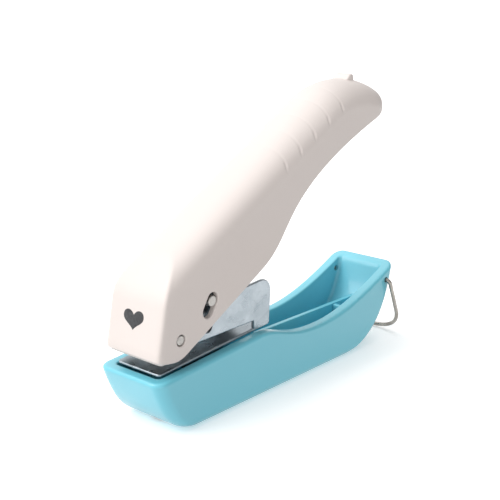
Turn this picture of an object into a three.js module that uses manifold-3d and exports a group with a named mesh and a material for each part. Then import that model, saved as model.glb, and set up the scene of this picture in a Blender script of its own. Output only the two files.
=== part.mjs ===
// Craft punch with a heart-shaped cutter: a plastic tray, a steel die frame, and a lever handle that
// drives one punch down through the die. Millimetres, +Z up, +X from the punch head to the tail.
// Lengths along the punch are measured from the tray's front rim; the last lines move the origin to the
// middle of the tray's flat underside.
import * as THREE from "three";
import { mergeVertices } from "three/addons/utils/BufferGeometryUtils.js";
import Module from "manifold-3d";

const wasm = await Module();
wasm.setup();

// Tray
const TRAY_LENGTH = 127;
const TRAY_WIDTH = 28;
const TRAY_CORNER = 4;
const FRONT_RIM_HEIGHT = 18.8;
const TAIL_RIM_HEIGHT = 30;
const RIM_WIDTH = 4.2;
const TAIL_RIM_WIDTH = 3;
const FLOOR_THICKNESS = 2.2;
const INSIDE_CORNER = 1.4;
const RIB_HEIGHT = 16;
const RIB_THICKNESS = 1.8;
const RIB_START = 60;
const CROSS_RIB_STATION = 105.6;

// Die frame: a sloping base plate with two ears that reach forward over the paper slot
const SHEET = 1.2;
const FRAME_HALF_WIDTH = 9.5;
const PLATE_FRONT = 4.6;
const PLATE_REAR = 57;
const PLATE_TOP_FRONT = 20.1;
const PLATE_SLOPE = THREE.MathUtils.degToRad(3.8);
const SLOT_CEILING = 25.6;
const SLOT_END = 48.6;
const GAP = 0.3;

// Pins, punch and die
const PIVOT = { x: 12.1, z: 29.8, radius: 1.6, halfLength: 11.7 };
const DRIVE = { x: 26.6, z: 38.8, radius: 1.8, halfLength: 11.6 };
const PUNCH_TRAVEL = 9.04;
const PUNCH_TIP = 26.4;
const SHANK_BOTTOM = 31.8;
const PUNCH_TOP = 42;
const SHANK_RADIUS = 4.2;
const HEART_WIDTH = 6.6;
const GUIDE = { front: 18.2, neckEnd: 36, shoulder: 38, rear: 46, neckHalfWidth: 6.4, thickness: 1.5 };
const DIE = { length: 17, width: 14, thickness: 2.2 };
const DIE_RIVET_OFFSET = 6.6;
const DIE_RIVET_RADIUS = 1;
const SCREW_STATIONS = { front: 14.5, rear: 42 };
const SCREW = { radius: 1.45, headRadius: 2.6, headHeight: 2, seat: 12, bossRadius: 3.6 };

// Handle
const CLOSING_ANGLE = THREE.MathUtils.degToRad(28);
const SHELL_HALF_WIDTH = 12;
const SHELL_WALL = 2;
const FACE_FOOT = { x: 2.4, z: 26.4 };
const FACE_LEAN = 0.2;
const PIVOT_HOLE_RADIUS = 2.1;
const HANDLE_SLOT = { low: { x: 24.4, z: 36.1 }, high: { x: 26.4, z: 39.4 }, radius: 2.4 };
const THUMB_TAB = { front: 106.8, rear: 110.9, top: 102, halfWidth: 3.5 };
const CROWN_RISE = 9.4;
// The crown's section is a superellipse: squarer over the head, elliptical from the grip on.
const CROWN_POWER = { head: 2.8, grip: 2, from: 10, to: 95 };
const TIP_CENTRE = 113.4;
const LEVER_HALF_WIDTH = 7.9;
const LEVER_TOP = 38.6;
const LEVER_END = 76;
const LEVER_SCREW_STATIONS = { front: 42, rear: 68 };
const LEVER_SCREW = { radius: 1.25, headRadius: 2.4, headHeight: 1.6, length: 9, postRadius: 3.2 };

// Return spring on the pivot, and the wire bail on the tail
const SPRING = { radius: 3.4, wire: 0.45, halfWidth: 2.6, turns: 4 };
const BUSH_RADIUS = 2.6;
const BUSH_HALF_LENGTH = 6.3;
const BAIL_AXIS = { x: 120.8, z: 23.7 };
const BAIL = { wire: 0.75, halfWidth: 15.6, straight: 13.5, reach: 24.6, roundness: 2.5 };
const BAIL_LEAN = THREE.MathUtils.degToRad(22);

const CURVE_STEPS = 8;
// Cutting tools and blanks run this far past the solids they cut or are trimmed by.
const PAST = 20;
const ABOVE = 110;

// ---- solids and placing -------------------------------------------------------------------------

function solid(geometry) {
  const bare = geometry.index ? geometry.toNonIndexed() : geometry.clone();
  const points = new THREE.BufferGeometry();
  points.setAttribute("position", bare.getAttribute("position"));
  const merged = mergeVertices(points, 1e-4);
  return new wasm.Manifold(
    new wasm.Mesh({
      numProp: 3,
      vertProperties: merged.attributes.position.array,
      triVerts: new Uint32Array(merged.index.array),
    }),
  );
}

function geometryOf(body) {
  const mesh = body.getMesh();
  const geometry = new THREE.BufferGeometry();
  geometry.setAttribute("position", new THREE.BufferAttribute(mesh.vertProperties, 3));
  geometry.setIndex(new THREE.BufferAttribute(mesh.triVerts, 1));
  geometry.computeVertexNormals();
  return geometry;
}

// A side-view outline (x along, y up) made as thick as the stretch from yLow to yHigh.
function sideSlab(shape, yLow, yHigh) {
  const depth = yHigh - yLow;
  const slab = new THREE.ExtrudeGeometry(shape, {
    depth,
    bevelEnabled: false,
    curveSegments: CURVE_STEPS,
  });
  return slab.rotateX(Math.PI / 2).translate(0, yHigh, 0);
}

// A plan-view outline raised from zLow to zHigh.
function planSlab(shape, zLow, zHigh, curveSegments = CURVE_STEPS) {
  const depth = zHigh - zLow;
  const slab = new THREE.ExtrudeGeometry(shape, { depth, bevelEnabled: false, curveSegments });
  return slab.translate(0, 0, zLow);
}

function crossPin(centre, radius, halfLength, sides = 24) {
  return new THREE.CylinderGeometry(radius, radius, 2 * halfLength, sides).translate(
    centre.x,
    0,
    centre.z,
  );
}

function post(x, radius, zLow, zHigh, sides = 24) {
  return new THREE.CylinderGeometry(radius, radius, zHigh - zLow, sides)
    .rotateX(Math.PI / 2)
    .translate(x, 0, (zLow + zHigh) / 2);
}

function polygon(points) {
  return new THREE.Shape(points.map(([x, y]) => new THREE.Vector2(x, y)));
}

function roundedPlan(xLow, xHigh, halfWidth, corner) {
  const shape = new THREE.Shape();
  shape.moveTo(xLow + corner, -halfWidth);
  shape.absarc(xHigh - corner, -halfWidth + corner, corner, -Math.PI / 2, 0);
  shape.absarc(xHigh - corner, halfWidth - corner, corner, 0, Math.PI / 2);
  shape.absarc(xLow + corner, halfWidth - corner, corner, Math.PI / 2, Math.PI);
  shape.absarc(xLow + corner, -halfWidth + corner, corner, Math.PI, 1.5 * Math.PI);
  return shape;
}

// A slot with round ends from one centre to the other, as a side-view outline.
function obround(from, to, radius) {
  const along = Math.atan2(to.z - from.z, to.x - from.x);
  const shape = new THREE.Shape();
  shape.absarc(to.x, to.z, radius, along - Math.PI / 2, along + Math.PI / 2);
  shape.absarc(from.x, from.z, radius, along + Math.PI / 2, along + 1.5 * Math.PI);
  return shape;
}

// A heart as wide as `width`, its lobes towards -X, centred on the punch's axis.
function heart(width) {
  const s = width / 2;
  const shape = new THREE.Shape();
  shape.moveTo(DRIVE.x + 0.95 * s, 0);
  shape.bezierCurveTo(
    DRIVE.x + 0.35 * s, 0.42 * s, DRIVE.x - 0.05 * s, 1.0 * s, DRIVE.x - 0.4 * s, 1.0 * s,
  );
  shape.bezierCurveTo(
    DRIVE.x - 1.05 * s, 1.0 * s, DRIVE.x - 1.0 * s, 0.1 * s, DRIVE.x - 0.5 * s, 0,
  );
  shape.bezierCurveTo(
    DRIVE.x - 1.0 * s, -0.1 * s, DRIVE.x - 1.05 * s, -1.0 * s, DRIVE.x - 0.4 * s, -1.0 * s,
  );
  shape.bezierCurveTo(
    DRIVE.x - 0.05 * s, -1.0 * s, DRIVE.x + 0.35 * s, -0.42 * s, DRIVE.x + 0.95 * s, 0,
  );
  return shape;
}

// The handle is drawn closed, lying level, and raised to its rest angle about the pivot.
function raised(geometry) {
  return geometry
    .translate(-PIVOT.x, 0, -PIVOT.z)
    .rotateY(-CLOSING_ANGLE)
    .translate(PIVOT.x, 0, PIVOT.z);
}

// Level work is turned to the base plate's slope about the plate's front top edge.
function sloped(geometry) {
  return geometry
    .translate(-PLATE_FRONT, 0, -PLATE_TOP_FRONT)
    .rotateY(-PLATE_SLOPE)
    .translate(PLATE_FRONT, 0, PLATE_TOP_FRONT);
}

function plateTop(x) {
  return PLATE_TOP_FRONT + (x - PLATE_FRONT) * Math.tan(PLATE_SLOPE);
}

// ---- tray ---------------------------------------------------------------------------------------

// The tray from the side: the rim climbs, dips for the fingers and sweeps up to the tail.
function trayProfile() {
  const shape = new THREE.Shape();
  shape.moveTo(17, 0);
  shape.lineTo(93, 0);
  shape.bezierCurveTo(119, 0, 124.7, 18, TRAY_LENGTH, TAIL_RIM_HEIGHT);
  shape.bezierCurveTo(107.5, 21, 93, 16.4, 78, 16.7);
  shape.bezierCurveTo(62, 16.9, 57, 22.4, 48, 22);
  shape.lineTo(0, FRONT_RIM_HEIGHT);
  shape.bezierCurveTo(4.5, 6, 8.5, 0, 17, 0);
  return shape;
}

// The hollow from the side, open at the top.
function hollowProfile() {
  const rear = TRAY_LENGTH - TAIL_RIM_WIDTH;
  const shape = new THREE.Shape();
  shape.moveTo(19, FLOOR_THICKNESS);
  shape.lineTo(93, FLOOR_THICKNESS);
  shape.bezierCurveTo(117, FLOOR_THICKNESS, 121.6, 18, rear, TAIL_RIM_HEIGHT);
  shape.lineTo(rear, ABOVE);
  shape.lineTo(RIM_WIDTH, ABOVE);
  shape.lineTo(RIM_WIDTH, FRONT_RIM_HEIGHT - 2);
  shape.bezierCurveTo(7, 8, 10.5, FLOOR_THICKNESS, 19, FLOOR_THICKNESS);
  return shape;
}

function screwBoss(x) {
  const top = plateTop(x) - SHEET - 2 * GAP;
  const boss = solid(post(x, SCREW.bossRadius, 1, top));
  const bore = solid(post(x, SCREW.radius + GAP, SCREW.seat - 1, top + 1));
  const counterbore = solid(post(x, SCREW.headRadius + GAP, -1, SCREW.seat));
  return { boss, cut: bore.add(counterbore) };
}

function baseTray() {
  const halfWidth = TRAY_WIDTH / 2;
  const inside = halfWidth - RIM_WIDTH;
  const block = solid(sideSlab(trayProfile(), -halfWidth, halfWidth)).intersect(
    solid(planSlab(roundedPlan(0, TRAY_LENGTH, halfWidth, TRAY_CORNER), -1, ABOVE)),
  );
  const hollow = solid(sideSlab(hollowProfile(), -inside, inside)).intersect(
    solid(
      planSlab(
        roundedPlan(RIM_WIDTH, TRAY_LENGTH - TAIL_RIM_WIDTH, inside, INSIDE_CORNER),
        0,
        ABOVE,
        4,
      ),
    ),
  );
  const half = RIB_THICKNESS / 2;
  const longRib = solid(
    sideSlab(
      polygon([
        [RIB_START, 1],
        [TRAY_LENGTH, 1],
        [TRAY_LENGTH, RIB_HEIGHT - 0.8],
        [RIB_START, RIB_HEIGHT],
      ]),
      -half,
      half,
    ),
  );
  const crossRib = solid(
    sideSlab(
      polygon([
        [CROSS_RIB_STATION - half, 1],
        [CROSS_RIB_STATION + half, 1],
        [CROSS_RIB_STATION + half, RIB_HEIGHT - 1],
        [CROSS_RIB_STATION - half, RIB_HEIGHT - 1],
      ]),
      -inside - 1,
      0,
    ),
  );
  const bosses = Object.values(SCREW_STATIONS).map(screwBoss);
  const ribs = longRib.add(crossRib).intersect(block);
  let tray = block.subtract(hollow).add(ribs);
  for (const { boss, cut } of bosses) tray = tray.add(boss).subtract(cut);
  const bailHoles = solid(crossPin(BAIL_AXIS, BAIL.wire + GAP, halfWidth + 1, 16));
  return geometryOf(tray.subtract(bailHoles));
}

// ---- die frame and what is fixed to it ----------------------------------------------------------

// One ear from the side: a boss round the pivot, a raised cheek over the drive pin's slot, and the
// rounded rear wall that carries it.
function earProfile() {
  const boss = PIVOT.z - SLOT_CEILING;
  const shape = new THREE.Shape();
  shape.moveTo(PIVOT.x, SLOT_CEILING);
  shape.lineTo(SLOT_END, SLOT_CEILING);
  shape.lineTo(SLOT_END, plateTop(SLOT_END) - SHEET / 2);
  shape.lineTo(PLATE_REAR - 0.2, plateTop(PLATE_REAR) - SHEET / 2);
  shape.lineTo(57.5, 34.2);
  shape.bezierCurveTo(57.6, 37.2, 55.4, 39.2, 52.4, 39.1);
  shape.lineTo(42, 38.4);
  shape.lineTo(34, 43);
  shape.lineTo(22.5, 43);
  shape.absarc(PIVOT.x, PIVOT.z, boss, THREE.MathUtils.degToRad(128), 1.5 * Math.PI);
  return shape;
}

function dieFrame() {
  const length = (PLATE_REAR - PLATE_FRONT) / Math.cos(PLATE_SLOPE);
  const plate = solid(
    sloped(
      planSlab(
        roundedPlan(PLATE_FRONT, PLATE_FRONT + length, FRAME_HALF_WIDTH, 1),
        PLATE_TOP_FRONT - SHEET,
        PLATE_TOP_FRONT,
        4,
      ),
    ),
  );
  const inner = FRAME_HALF_WIDTH - SHEET;
  const ears = [
    [-FRAME_HALF_WIDTH, -inner],
    [inner, FRAME_HALF_WIDTH],
  ].map(([low, high]) => solid(sideSlab(earProfile(), low, high)));
  const slotRadius = DRIVE.radius + GAP;
  const cuts = [
    crossPin(PIVOT, PIVOT.radius + GAP, PAST),
    sideSlab(
      obround({ x: DRIVE.x, z: DRIVE.z - PUNCH_TRAVEL }, { x: DRIVE.x, z: DRIVE.z }, slotRadius),
      -PAST,
      PAST,
    ),
    planSlab(heart(HEART_WIDTH + 2 * GAP), 15, 24, 6),
    ...Object.values(SCREW_STATIONS).map((x) => post(x, SCREW.radius + GAP, 15, 25)),
    ...[-1, 1].map((side) =>
      sloped(post(DRIVE.x + side * DIE_RIVET_OFFSET, DIE_RIVET_RADIUS + GAP, 15, 25, 16)),
    ),
  ];
  let frame = plate;
  for (const ear of ears) frame = frame.add(ear);
  for (const cut of cuts) frame = frame.subtract(solid(cut));
  return geometryOf(frame);
}

function dieBlock() {
  const top = PLATE_TOP_FRONT - SHEET - GAP;
  const half = DIE.length / 2;
  const block = solid(
    sloped(
      planSlab(
        roundedPlan(DRIVE.x - half, DRIVE.x + half, DIE.width / 2, 1.5),
        top - DIE.thickness,
        top,
        4,
      ),
    ),
  );
  const holes = [-1, 1].map((side) =>
    sloped(post(DRIVE.x + side * DIE_RIVET_OFFSET, DIE_RIVET_RADIUS + GAP, 12, 25, 16)),
  );
  let die = block.subtract(solid(planSlab(heart(HEART_WIDTH + 2 * GAP), 12, 24, 6)));
  for (const hole of holes) die = die.subtract(solid(hole));
  return geometryOf(die);
}

// A flush rivet with its head closed under the die block.
function dieRivet(side) {
  const x = DRIVE.x + side * DIE_RIVET_OFFSET;
  const under = PLATE_TOP_FRONT - SHEET - GAP - DIE.thickness - GAP;
  const r = DIE_RIVET_RADIUS;
  const profile = [
    [0, -1],
    [r + 0.4, -1],
    [r + 0.8, -0.6],
    [r + 0.8, 0],
    [r, 0],
    [r, PLATE_TOP_FRONT - 0.2 - under],
    [0, PLATE_TOP_FRONT - 0.2 - under],
  ].map(([a, b]) => new THREE.Vector2(a, b));
  const rivet = new THREE.LatheGeometry(profile, 16).rotateX(Math.PI / 2);
  return sloped(rivet.translate(x, 0, under));
}

// A pan-head screw drawn head down, with a cross-shaped recess.
function screw(radius, headRadius, headHeight, length) {
  const profile = [
    [0, -headHeight],
    [headRadius - 0.6, -headHeight],
    [headRadius, -headHeight + 0.6],
    [headRadius, 0],
    [radius, 0],
    [radius, length - 0.6],
    [radius - 0.5, length],
    [0, length],
  ].map(([a, b]) => new THREE.Vector2(a, b));
  let body = solid(new THREE.LatheGeometry(profile, 24).rotateX(Math.PI / 2));
  const arm = 1.3 * headRadius;
  for (const [x, y] of [
    [arm, 0.7],
    [0.7, arm],
  ])
    body = body.subtract(
      solid(new THREE.BoxGeometry(x, y, 1.6).translate(0, 0, -headHeight)),
    );
  return geometryOf(body);
}

function frameScrew(x) {
  const length = plateTop(x) - GAP - (SCREW.seat - GAP);
  const made = screw(SCREW.radius, SCREW.headRadius, SCREW.headHeight, length);
  return made.translate(x, 0, SCREW.seat - GAP);
}

// The plate between the ears that steers the punch, its round hole a running fit on the shank.
function punchGuide() {
  const low = SLOT_CEILING + GAP;
  const inner = FRAME_HALF_WIDTH - SHEET - GAP;
  const { front, neckEnd, shoulder, rear, neckHalfWidth, thickness } = GUIDE;
  const outline = polygon([
    [front, -neckHalfWidth],
    [neckEnd, -neckHalfWidth],
    [shoulder, -inner],
    [rear, -inner],
    [rear, inner],
    [shoulder, inner],
    [neckEnd, neckHalfWidth],
    [front, neckHalfWidth],
  ]);
  const hole = post(DRIVE.x, SHANK_RADIUS + GAP, low - 1, low + thickness + 1, 32);
  return geometryOf(solid(planSlab(outline, low, low + thickness)).subtract(solid(hole)));
}

function pivotBush() {
  const sleeve = solid(crossPin(PIVOT, BUSH_RADIUS, BUSH_HALF_LENGTH));
  return geometryOf(sleeve.subtract(solid(crossPin(PIVOT, PIVOT.radius + GAP, PAST))));
}

// A torsion spring wound on the pivot's bush: one arm on the guide plate, one under the lever.
function returnSpring() {
  const start = THREE.MathUtils.degToRad(-71.6);
  const finish = THREE.MathUtils.degToRad(153.3);
  const sweep = -2 * Math.PI * SPRING.turns + (finish - start - 2 * Math.PI);
  const at = (angle, y, radius = SPRING.radius) =>
    new THREE.Vector3(
      PIVOT.x + radius * Math.cos(angle),
      y,
      PIVOT.z + radius * Math.sin(angle),
    );
  const points = [new THREE.Vector3(20.5, -SPRING.halfWidth, 29.0)];
  points.push(new THREE.Vector3(16.8, -SPRING.halfWidth, 27.78));
  const steps = 12 * (SPRING.turns + 1);
  for (let i = 0; i <= steps; i++) {
    const t = i / steps;
    points.push(at(start + t * sweep, SPRING.halfWidth * (2 * t - 1)));
  }
  const leaving = new THREE.Vector3(Math.sin(finish), 0, -Math.cos(finish));
  const last = at(finish, SPRING.halfWidth);
  points.push(last.clone().addScaledVector(leaving, 3.5));
  points.push(last.clone().addScaledVector(leaving, 7));
  return wire(points, SPRING.wire, 6, 6 * SPRING.turns * 4 + 20);
}

// Round wire through the given points.
function wire(points, radius, sides, steps) {
  const section = new THREE.Shape();
  for (let i = 0; i < sides; i++) {
    const a = (2 * Math.PI * i) / sides;
    const x = radius * Math.cos(a);
    const y = radius * Math.sin(a);
    if (i) section.lineTo(x, y);
    else section.moveTo(x, y);
  }
  section.closePath();
  const path = new THREE.CatmullRomCurve3(points, false, "centripetal");
  return new THREE.ExtrudeGeometry(section, { steps, bevelEnabled: false, extrudePath: path });
}

// ---- punch --------------------------------------------------------------------------------------

function punch() {
  const shank = solid(post(DRIVE.x, SHANK_RADIUS, SHANK_BOTTOM, PUNCH_TOP, 32));
  const cutter = solid(planSlab(heart(HEART_WIDTH), PUNCH_TIP, SHANK_BOTTOM + 1, 6));
  const hole = solid(crossPin(DRIVE, DRIVE.radius + GAP, 8));
  return geometryOf(shank.add(cutter).subtract(hole));
}

// A plain pin with chamfered ends, across the punch.
function chamferedPin(pin) {
  const { radius: r, halfLength: h } = pin;
  const profile = [
    [0, -h],
    [r - 0.4, -h],
    [r, -h + 0.4],
    [r, h - 0.4],
    [r - 0.4, h],
    [0, h],
  ].map(([a, b]) => new THREE.Vector2(a, b));
  return new THREE.LatheGeometry(profile, 24).translate(pin.x, 0, pin.z);
}

// ---- handle -------------------------------------------------------------------------------------

// The crest of the handle from the side, from the head to the tip.
function crest(lowered) {
  const drop = new THREE.Vector2(0, -lowered);
  const at = (x, z) => new THREE.Vector2(x, z).add(drop);
  const straight = new THREE.LineCurve(at(-4, 43.7), at(88, 96.1));
  const bend = new THREE.CubicBezierCurve(
    at(88, 96.1), at(95, 99.9), at(102, 101.0), at(110.5, 100.0),
  );
  const fall = new THREE.CubicBezierCurve(
    at(110.5, 100.0), at(117, 98.6), at(124, 95.0), at(125.4, 89.5),
  );
  return [
    ...straight.getPoints(6),
    ...bend.getPoints(6).slice(1),
    ...fall.getPoints(8).slice(1),
  ];
}

// A long block with an arched top that follows the crest and a round end at the tip.
function crownedBlock(halfWidth, rise, lowered, floor) {
  const stations = crest(lowered).filter((p) => p.x < TIP_CENTRE + halfWidth - 0.05);
  const lastX = TIP_CENTRE + halfWidth - 0.05;
  const last = stations[stations.length - 1];
  stations.push(new THREE.Vector2(lastX, last.y - 2));
  const arch = 12;
  const rings = stations.map(({ x, y: top }) => {
    const past = Math.max(0, x - TIP_CENTRE);
    const w = Math.sqrt(halfWidth ** 2 - past ** 2);
    const r = rise * (w / halfWidth);
    const toGrip = THREE.MathUtils.smoothstep(x, CROWN_POWER.from, CROWN_POWER.to);
    const power = 2 / THREE.MathUtils.lerp(CROWN_POWER.head, CROWN_POWER.grip, toGrip);
    const ring = [
      [x, -w, floor],
      [x, w, floor],
    ];
    for (let i = 0; i <= arch; i++) {
      const a = (Math.PI * i) / arch;
      const across = Math.sign(Math.cos(a)) * Math.abs(Math.cos(a)) ** power;
      ring.push([x, i === arch / 2 ? 0 : w * across, top - r + r * Math.sin(a) ** power]);
    }
    return ring;
  });
  return loft(rings);
}

// Joins closed rings of equal count into one solid, each ring running from -Y up over to +Y's side.
function loft(rings) {
  const count = rings[0].length;
  const positions = rings.flat(2);
  const index = [];
  for (let r = 0; r + 1 < rings.length; r++)
    for (let i = 0; i < count; i++) {
      const a = r * count + i;
      const b = r * count + ((i + 1) % count);
      index.push(a, a + count, b, b, a + count, b + count);
    }
  const end = (rings.length - 1) * count;
  for (let i = 1; i + 1 < count; i++) {
    index.push(0, i, i + 1);
    index.push(end, end + i + 1, end + i);
  }
  const geometry = new THREE.BufferGeometry();
  geometry.setAttribute("position", new THREE.Float32BufferAttribute(positions, 3));
  geometry.setIndex(index);
  const body = solid(geometry);
  if (body.volume() > 0) return body;
  for (let i = 0; i < index.length; i += 3) [index[i], index[i + 1]] = [index[i + 1], index[i]];
  geometry.setIndex(index);
  return solid(geometry);
}

// Where the leaning front face of the head stands at height z.
function faceAt(z) {
  return FACE_FOOT.x + (z - FACE_FOOT.z) * FACE_LEAN;
}

// The handle from the side at rest: leaning face, chin, belly line and tail; the crest trims the top.
function shellProfile() {
  const shape = new THREE.Shape();
  shape.moveTo(FACE_FOOT.x, FACE_FOOT.z);
  shape.bezierCurveTo(2.1, 24.6, 3, 24.1, 4.6, 23.9);
  shape.lineTo(8, 23.3);
  shape.bezierCurveTo(11.5, 22.7, 13.5, 23.8, 15.7, 25);
  shape.lineTo(50, 43.4);
  shape.bezierCurveTo(58.5, 48, 60, 52.5, 66.5, 59.8);
  shape.bezierCurveTo(75.5, 69.8, 91, 78, 113, 85.8);
  shape.lineTo(127, 87.4);
  shape.lineTo(127, ABOVE);
  shape.lineTo(faceAt(ABOVE), ABOVE);
  return shape;
}

function shellInterior() {
  const bottom = 15;
  const behindFace = solid(
    sideSlab(
      polygon([
        [faceAt(bottom) + SHELL_WALL, bottom],
        [TRAY_LENGTH, bottom],
        [TRAY_LENGTH, ABOVE],
        [faceAt(ABOVE) + SHELL_WALL, ABOVE],
      ]),
      -PAST,
      PAST,
    ),
  );
  const rise = CROWN_RISE - 1.6;
  return crownedBlock(SHELL_HALF_WIDTH - SHELL_WALL, rise, SHELL_WALL, 12).intersect(behindFace);
}

// The raised thumb tab near the tip, where the bail catches.
function thumbTab() {
  const { front, rear, top, halfWidth } = THUMB_TAB;
  const root = top - 4;
  const shape = new THREE.Shape();
  shape.moveTo(front, root);
  shape.lineTo(front, top - 1.7);
  shape.bezierCurveTo(front + 1.2, top - 0.8, front + 1.6, top, front + 2.6, top);
  shape.bezierCurveTo(rear - 0.3, top, rear, top - 1, rear, root);
  return solid(sideSlab(shape, -halfWidth, halfWidth));
}

function driveSlotInHandle() {
  const { low, high, radius } = HANDLE_SLOT;
  return solid(sideSlab(obround(low, high, radius), -PAST, PAST));
}

function handleShell() {
  const outer = crownedBlock(SHELL_HALF_WIDTH, CROWN_RISE, 0, 14).intersect(
    solid(sideSlab(shellProfile(), -PAST, PAST)),
  );
  let shell = outer.subtract(shellInterior()).add(thumbTab());
  for (const x of Object.values(LEVER_SCREW_STATIONS)) {
    const column = solid(raised(post(x, LEVER_SCREW.postRadius, LEVER_TOP + GAP, 70)));
    const bore = solid(
      raised(post(x, LEVER_SCREW.radius + GAP, LEVER_TOP - 1, LEVER_TOP + LEVER_SCREW.length)),
    );
    shell = shell.add(column.intersect(outer)).subtract(bore);
  }
  shell = shell.subtract(solid(crossPin(PIVOT, PIVOT_HOLE_RADIUS, PAST)));
  return geometryOf(shell.subtract(driveSlotInHandle()));
}

// The pressed-steel lever inside the shell: two cheeks and a web, drawn closed.
function handleLever() {
  const cheek = new THREE.Shape();
  const boss = 4;
  cheek.moveTo(PIVOT.x, PIVOT.z - boss);
  cheek.lineTo(33, 26.2);
  cheek.lineTo(40, 29);
  cheek.lineTo(LEVER_END, 31);
  cheek.lineTo(LEVER_END, LEVER_TOP);
  cheek.lineTo(15.6, LEVER_TOP);
  cheek.absarc(PIVOT.x, PIVOT.z, boss, THREE.MathUtils.degToRad(160), 1.5 * Math.PI);
  const inner = LEVER_HALF_WIDTH - SHEET;
  const web = new THREE.BoxGeometry(LEVER_END - 16, 2 * LEVER_HALF_WIDTH, SHEET).translate(
    (LEVER_END + 16) / 2,
    0,
    LEVER_TOP - SHEET / 2,
  );
  let lever = solid(raised(web));
  for (const [low, high] of [
    [-LEVER_HALF_WIDTH, -inner],
    [inner, LEVER_HALF_WIDTH],
  ])
    lever = lever.add(solid(raised(sideSlab(cheek, low, high))));
  lever = lever
    .subtract(solid(crossPin(PIVOT, PIVOT.radius + GAP, PAST)))
    .subtract(driveSlotInHandle());
  for (const x of Object.values(LEVER_SCREW_STATIONS))
    lever = lever.subtract(
      solid(raised(post(x, LEVER_SCREW.radius + GAP, LEVER_TOP - 3, LEVER_TOP + 1, 16))),
    );
  return geometryOf(lever);
}

function leverScrew(x) {
  const { radius, headRadius, headHeight, length } = LEVER_SCREW;
  const made = screw(radius, headRadius, headHeight, length);
  return raised(made.translate(x, 0, LEVER_TOP - SHEET - GAP));
}

// ---- bail ---------------------------------------------------------------------------------------

// The bail's wire: into the left wall, down one leg, round the broad end and back into the right.
function wireBail() {
  const { halfWidth, straight, reach } = BAIL;
  const outward = new THREE.Vector3(Math.sin(BAIL_LEAN), 0, -Math.cos(BAIL_LEAN));
  const axis = new THREE.Vector3(BAIL_AXIS.x, 0, BAIL_AXIS.z);
  const at = (y, out) => axis.clone().setY(y).addScaledVector(outward, out);
  const side = [at(10.4, 0), at(halfWidth - 1.6, 0), at(halfWidth - 0.35, 0.45), at(halfWidth, 1.8)];
  side.push(at(halfWidth, straight));
  const round = [];
  const arc = 10;
  const power = 2 / BAIL.roundness;
  for (let i = 1; i < arc; i++) {
    const a = (Math.PI * i) / arc;
    const across = Math.sign(Math.cos(a)) * Math.abs(Math.cos(a)) ** power;
    round.push(
      at(halfWidth * across, straight + (reach - straight) * Math.sin(a) ** power),
    );
  }
  const other = side.map((p) => p.clone().setY(-p.y)).reverse();
  return wire([...side, ...round, ...other], BAIL.wire, 8, 64);
}

// ---- assembly -----------------------------------------------------------------------------------

const TRAY_BLUE = { color: 0x8fd3e2, roughness: 0.35, metalness: 0 };
const CREAM = { color: 0xefe6df, roughness: 0.55, metalness: 0 };
const ZINC = { color: 0xb4bfc8, roughness: 0.35, metalness: 1 };
const STEEL = { color: 0xb9b3aa, roughness: 0.3, metalness: 1 };
const DARK_STEEL = { color: 0x6f7174, roughness: 0.45, metalness: 1 };

const punchAssembly = new THREE.Group();
// The origin is the middle of the tray's flat underside.
punchAssembly.position.x = -TRAY_LENGTH / 2;

function part(name, geometry, look) {
  const mesh = new THREE.Mesh(geometry, new THREE.MeshStandardMaterial(look));
  mesh.name = name;
  punchAssembly.add(mesh);
}

part("base_tray", baseTray(), TRAY_BLUE);
part("die_frame", dieFrame(), ZINC);
part("die_block", dieBlock(), DARK_STEEL);
part("die_rivet_front", dieRivet(-1), STEEL);
part("die_rivet_rear", dieRivet(1), STEEL);
part("frame_screw_front", frameScrew(SCREW_STATIONS.front), STEEL);
part("frame_screw_rear", frameScrew(SCREW_STATIONS.rear), STEEL);
part("punch_guide", punchGuide(), ZINC);
part("pivot_pin", chamferedPin(PIVOT), STEEL);
part("pivot_bush", pivotBush(), STEEL);
part("return_spring", returnSpring(), STEEL);
part("punch", punch(), DARK_STEEL);
part("drive_pin", chamferedPin(DRIVE), STEEL);
part("handle_lever", handleLever(), ZINC);
part("handle_shell", handleShell(), CREAM);
part("lever_screw_front", leverScrew(LEVER_SCREW_STATIONS.front), STEEL);
part("lever_screw_rear", leverScrew(LEVER_SCREW_STATIONS.rear), STEEL);
part("wire_bail", wireBail(), STEEL);

export default punchAssembly;
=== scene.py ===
"""Craft punch: the look of each piece, built round the CAD frame.

Lengths are millimetres: x from the tray's front rim, y from the middle, z from the surface it stands on.
"""

import math

import bmesh
import bpy
import numpy as np
from mathutils import Matrix, Vector
from mathutils.geometry import tessellate_polygon


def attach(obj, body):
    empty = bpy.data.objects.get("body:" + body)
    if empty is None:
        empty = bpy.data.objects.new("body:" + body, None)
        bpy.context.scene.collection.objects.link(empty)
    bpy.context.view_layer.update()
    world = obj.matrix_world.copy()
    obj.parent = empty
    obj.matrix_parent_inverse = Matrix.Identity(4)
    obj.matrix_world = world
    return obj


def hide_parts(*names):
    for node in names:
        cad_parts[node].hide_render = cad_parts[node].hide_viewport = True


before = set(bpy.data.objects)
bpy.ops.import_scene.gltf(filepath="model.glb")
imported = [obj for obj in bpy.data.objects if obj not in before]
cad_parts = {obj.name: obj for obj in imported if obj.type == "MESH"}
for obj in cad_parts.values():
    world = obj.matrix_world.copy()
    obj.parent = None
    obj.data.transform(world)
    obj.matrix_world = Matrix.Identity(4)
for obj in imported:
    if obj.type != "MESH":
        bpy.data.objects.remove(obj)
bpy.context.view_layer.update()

MM = 0.001
ORIGIN_X = 63.5  # the CAD origin, from the front rim

# ---- camera -------------------------------------------------------------------------------------

CAMERA_AZIMUTH = math.radians(-48.898)
CAMERA_ELEVATION = math.radians(16.022)
CAMERA_DISTANCE = 366.39
CAMERA_ACROSS = -3.59
CAMERA_UP = 43.61
CAMERA_CENTRE_X = 63.16  # from the front rim: the point that the camera's place is measured from
CAMERA_LENS = 73.94


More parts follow.
